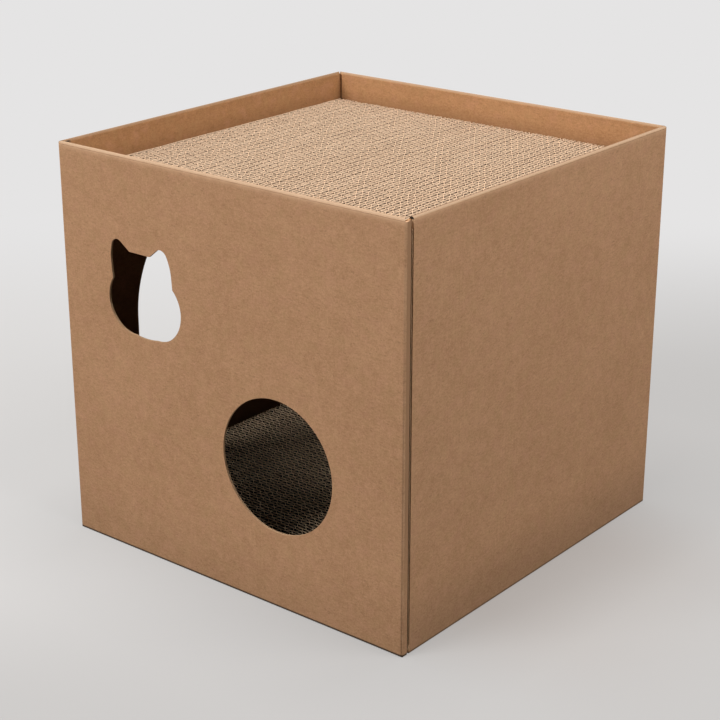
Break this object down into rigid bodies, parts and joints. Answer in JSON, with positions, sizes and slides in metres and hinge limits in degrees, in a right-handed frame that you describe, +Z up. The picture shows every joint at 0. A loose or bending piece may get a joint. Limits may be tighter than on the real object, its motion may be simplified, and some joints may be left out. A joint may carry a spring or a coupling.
{
  "type": "cat condo",
  "caption": "Cube-shaped cardboard cat condo: a sleeve with a round hole, a head-shaped window and an arched door, a rolled rim and corrugated scratching pads on top and inside.",
  "frame": {"origin": "middle of the base, on the floor", "axes": "+Z up; the front with the round hole and the window faces -Y; the arched door faces -X"},
  "size_m": [0.3, 0.3, 0.291],
  "materials": {
    "kraft_outer": "uncoated kraft paper face",
    "kraft_inner": "uncoated kraft paper face",
    "corrugated_pad": "cut edges of corrugated board"
  },
  "bodies": {
    "house": {"front_wall": "kraft_outer", "right_wall": "kraft_outer", "back_wall": "kraft_outer", "left_wall": "kraft_outer", "glue_flap": "kraft_inner", "front_rim_band": "kraft_outer", "right_rim_band": "kraft_outer", "back_rim_band": "kraft_outer", "left_rim_band": "kraft_outer", "liner_front": "kraft_inner", "liner_right": "kraft_inner", "liner_back": "kraft_inner", "liner_left": "kraft_inner", "front_base_flap": "kraft_outer", "back_base_flap": "kraft_outer", "left_base_flap": "kraft_inner", "right_base_flap": "kraft_inner"},
    "shelf": {"shelf_board": "kraft_inner"},
    "upper_pad": {"upper_scratch_pad": "corrugated_pad"},
    "lower_pad": {"lower_scratch_pad": "corrugated_pad"}
  },
  "joints": [
    {"name": "shelf_lift", "type": "slide", "parent": "house", "child": "shelf", "axis": [0, 0, 1], "range_m": [0, 0.07]},
    {"name": "upper_pad_lift", "type": "slide", "parent": "shelf", "child": "upper_pad", "axis": [0, 0, 1], "range_m": [0, 0.07]},
    {"name": "lower_pad_lift", "type": "slide", "parent": "house", "child": "lower_pad", "axis": [0, 0, 1], "range_m": [0, 0.205]}
  ]
}
